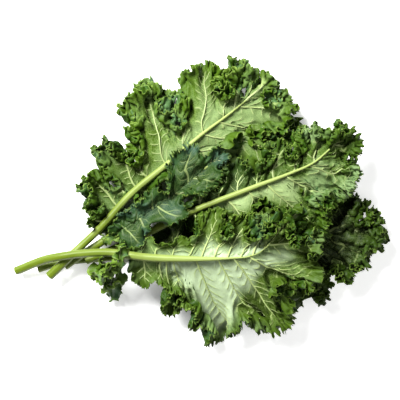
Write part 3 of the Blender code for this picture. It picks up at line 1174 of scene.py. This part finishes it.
def stalk_rind(name):
    """Streaked along the stalk, and paler towards the midrib's tip."""
    surface = Surface(name)
    grain = surface.attribute("grain", "Vector")
    streak = surface.noise(grain, 9, 4)
    place = surface.place()
    patch = surface.noise(place, 35, 2)
    colour = surface.blend(streak.step(0.3, 0.7), STALK_GREEN, STALK_STREAK)
    colour = surface.blend(patch.step(0.45, 0.75) * 0.5, colour, STALK_PATCH)
    share = surface.node("ShaderNodeSeparateXYZ", inputs={"Vector": grain}, output="Z")
    colour = surface.blend(share.step(0.2, 0.85) * (0.55 + streak * 0.5), colour, MIDRIB_GREEN)
    fine = surface.noise(place, 900, 2)
    return surface.finish(
        Base_Color=colour,
        Roughness=streak * 0.15 + 0.42,
        Specular_IOR_Level=0.3,
        Sheen_Weight=0.08,
        Sheen_Roughness=0.4,
        Normal=surface.bump(streak * 0.6 + fine * 0.3, 0.3 * MM, 0.6),
    )


def cut_flesh(name):
    surface = Surface(name)
    fibres = surface.cells(surface.place(), 1400)
    colour = surface.blend(fibres.step(0.0, 0.3), FIBRE_GREEN, FLESH_GREEN)
    return surface.finish(
        Base_Color=colour, Roughness=0.35, Normal=surface.bump(fibres, 0.2 * MM, 0.5)
    )


def vein_skin(leaf):
    surface = Surface(leaf.name + "_vein_skin")
    patch = surface.noise(surface.place(), 70, 3)
    light, dark = (tuple(VEIN_SHADES[leaf.name] * shade * c for c in VEIN_GREEN)
                   for shade in (1, 0.75))
    mixed = surface.blend(patch.step(0.3, 0.7), light, dark)
    return surface.finish(Base_Color=mixed, Roughness=0.45)


# Colours of each leaf: tissue, frill and bloom of its underside, then of its upper side. Leaves
# lower in the heap are darker, partly their own tone and partly painted shade, and the right
# one, lowest and under the others, is painted far darker than its own colour, as painted shade.
LEAF_COLOURS = {
    "right": (((0.12, 0.18, 0.05), (0.035, 0.07, 0.003), (0.07, 0.11, 0.015)),
              ((0.006, 0.013, 0.001), (0.022, 0.046, 0.002), (0.032, 0.062, 0.008))),
    "left": (((0.14, 0.21, 0.070), (0.050, 0.100, 0.004), (0.10, 0.17, 0.040)),
             ((0.028, 0.070, 0.004), (0.034, 0.080, 0.004), (0.080, 0.16, 0.060))),
    "middle": (((0.25, 0.34, 0.14), (0.042, 0.088, 0.004), (0.18, 0.27, 0.11)),
               ((0.022, 0.056, 0.003), (0.027, 0.066, 0.003), (0.055, 0.13, 0.045))),
    "inner": (((0.12, 0.19, 0.08), (0.035, 0.075, 0.012), (0.09, 0.16, 0.09)),
              ((0.014, 0.037, 0.010), (0.019, 0.049, 0.007), (0.031, 0.070, 0.045))),
    "front": (((0.40, 0.50, 0.31), (0.044, 0.084, 0.004), (0.12, 0.19, 0.06)),
              ((0.020, 0.050, 0.003), (0.023, 0.056, 0.002), (0.042, 0.100, 0.042))),
    "crossing": (((0.10, 0.17, 0.03), (0.07, 0.13, 0.010), (0.13, 0.20, 0.07)),
                 ((0.045, 0.09, 0.012), (0.05, 0.10, 0.008), (0.05, 0.11, 0.05))),
    "curled": (((0.12, 0.20, 0.03), (0.09, 0.16, 0.012), (0.16, 0.24, 0.08)),
               ((0.06, 0.12, 0.010), (0.06, 0.12, 0.006), (0.09, 0.16, 0.05))),
}


def blade_materials(leaf):
    """The materials of the side that shows and of the side below."""
    below, above = LEAF_COLOURS[leaf.name]
    under = blade_side(leaf.name + "_underside", *below, bloom_inside=0.15, vein_strength=0.85,
                       relief=1.0, roughness=0.58)
    upper = blade_side(leaf.name + "_upper_side", *above, bloom_inside=0.9, vein_strength=0.5,
                       relief=-1.0, roughness=0.5)
    return [under, upper] if leaf.underside_up else [upper, under]


# ---------------------------- the bunch


def dress(piece, slot, materials, *nodes):
    for material in materials:
        piece.data.materials.append(material)
    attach(piece, "root")
    if nodes:
        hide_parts(*nodes)


def grow_leaf(leaf, below, above):
    """A leaf's blade and veins."""
    blade, stalk = SOLIDS[leaf.name]
    room = Room(below, above + [stalk]) if leaf.underside_up else Room(below + [stalk], above)
    line = stalk_line(leaf.name + "_stalk")
    sheet = frilled_sheet(leaf, line, blade, room, above, STAGES)
    piece = sheet_piece(leaf.name + "_leaf", sheet, FINER_ROWS)
    dress(piece, leaf.slot, blade_materials(leaf), leaf.name + "_blade")
    vein = vein_skin(leaf)
    for piece in vein_pieces(leaf, sheet):
        dress(piece, "stalk", [vein])


def grow_leaflet(leaf, below):
    """A leaflet with its midrib. It has no stalk of its own."""
    node = leaf.name + "_leaflet"
    sheet = frilled_sheet(leaf, leaflet_line(node), Solid(node), Room(below, []), [],
                          STAGES[LEAFLET_FIRST_STAGE:])
    dress(sheet_piece(leaf.name + "_leaf", sheet, []), leaf.slot, blade_materials(leaf), node)
    points = sheet.place[: sheet.tip + 1 : LEAFLET_RIB_STEP, 0]
    radii = np.linspace(LEAFLET_RIB_RADIUS, LEAFLET_RIB_RADIUS / 3, len(points))
    rib = tube_piece(leaf.name + "_rib", [np.column_stack([points, radii])], 1)
    dress(rib, "stalk", [vein_skin(leaf)])


def grow_bunch():
    rind = stalk_rind("stalk_rind")
    flesh = cut_flesh("cut_flesh")
    for order, leaf in enumerate(LEAVES):
        below = [solid for other in LEAVES[:order] for solid in SOLIDS[other.name]]
        above = [solid for other in LEAVES[order + 1:] for solid in SOLIDS[other.name]]
        grow_leaf(leaf, below, above)
        dress(stalk_piece(leaf), "stalk", [rind, flesh], leaf.name + "_stalk")
    heap = [solid for solids in SOLIDS.values() for solid in solids]
    for leaflet in LEAFLETS:
        grow_leaflet(leaflet, heap)


# ---------------------------- floor, light, camera


# The floor glows faintly, so that it stays pale around the heap, but not under it.
GLOW_EDGE = (0.09, 0.17)
GLOW = 0.62

# Each light's place, power and size.
WINDOW_LIGHT = ((-0.65, 0.75, 1.1), 70, 0.55)
FILL_LIGHT = ((0.7, -0.4, 1.2), 5, 1.0)
ROOM_LIGHT = 0.13

LENS = 120
CAMERA_HEIGHT = 1.457


def floor():
    bm = bmesh.new()
    bmesh.ops.create_grid(bm, x_segments=1, y_segments=1, size=3)
    mesh = bpy.data.meshes.new("floor")
    bm.to_mesh(mesh)
    surface = Surface("white_table")
    away = surface.node("ShaderNodeVectorMath", {"operation": "LENGTH"},
                        {"Vector": surface.place()}, output="Value")
    glow = surface.blend(away.step(*GLOW_EDGE), (0.0, 0.0, 0.0), (1.0, 1.0, 1.0))
    mesh.materials.append(surface.finish(
        Base_Color=(0.88, 0.88, 0.87), Roughness=0.7, Emission_Color=glow, Emission_Strength=GLOW,
    ))
    placed("floor", mesh)


def soft_light(name, place, power, size):
    light = bpy.data.lights.new(name, "AREA")
    light.energy = power
    light.size = size
    lamp = placed(name, light)
    lamp.location = place
    lamp.rotation_euler = (-Vector(place)).to_track_quat("-Z", "Y").to_euler()


def studio():
    floor()
    soft_light("window_light", *WINDOW_LIGHT)
    soft_light("fill_light", *FILL_LIGHT)
    world = bpy.data.worlds.new("pale_room")
    world.use_nodes = True
    background = world.node_tree.nodes["Background"]
    background.inputs["Color"].default_value = (1, 1, 1, 1)
    background.inputs["Strength"].default_value = ROOM_LIGHT
    bpy.context.scene.world = world
    bpy.context.scene.view_settings.view_transform = "Standard"
    camera = placed("camera", bpy.data.cameras.new("camera"))
    camera.data.lens = LENS
    camera.location = 0, 0, CAMERA_HEIGHT
    bpy.context.scene.camera = camera


SOLIDS = {leaf.name: (Solid(leaf.name + "_blade"), Solid(leaf.name + "_stalk"))
          for leaf in LEAVES}
grow_bunch()
studio()
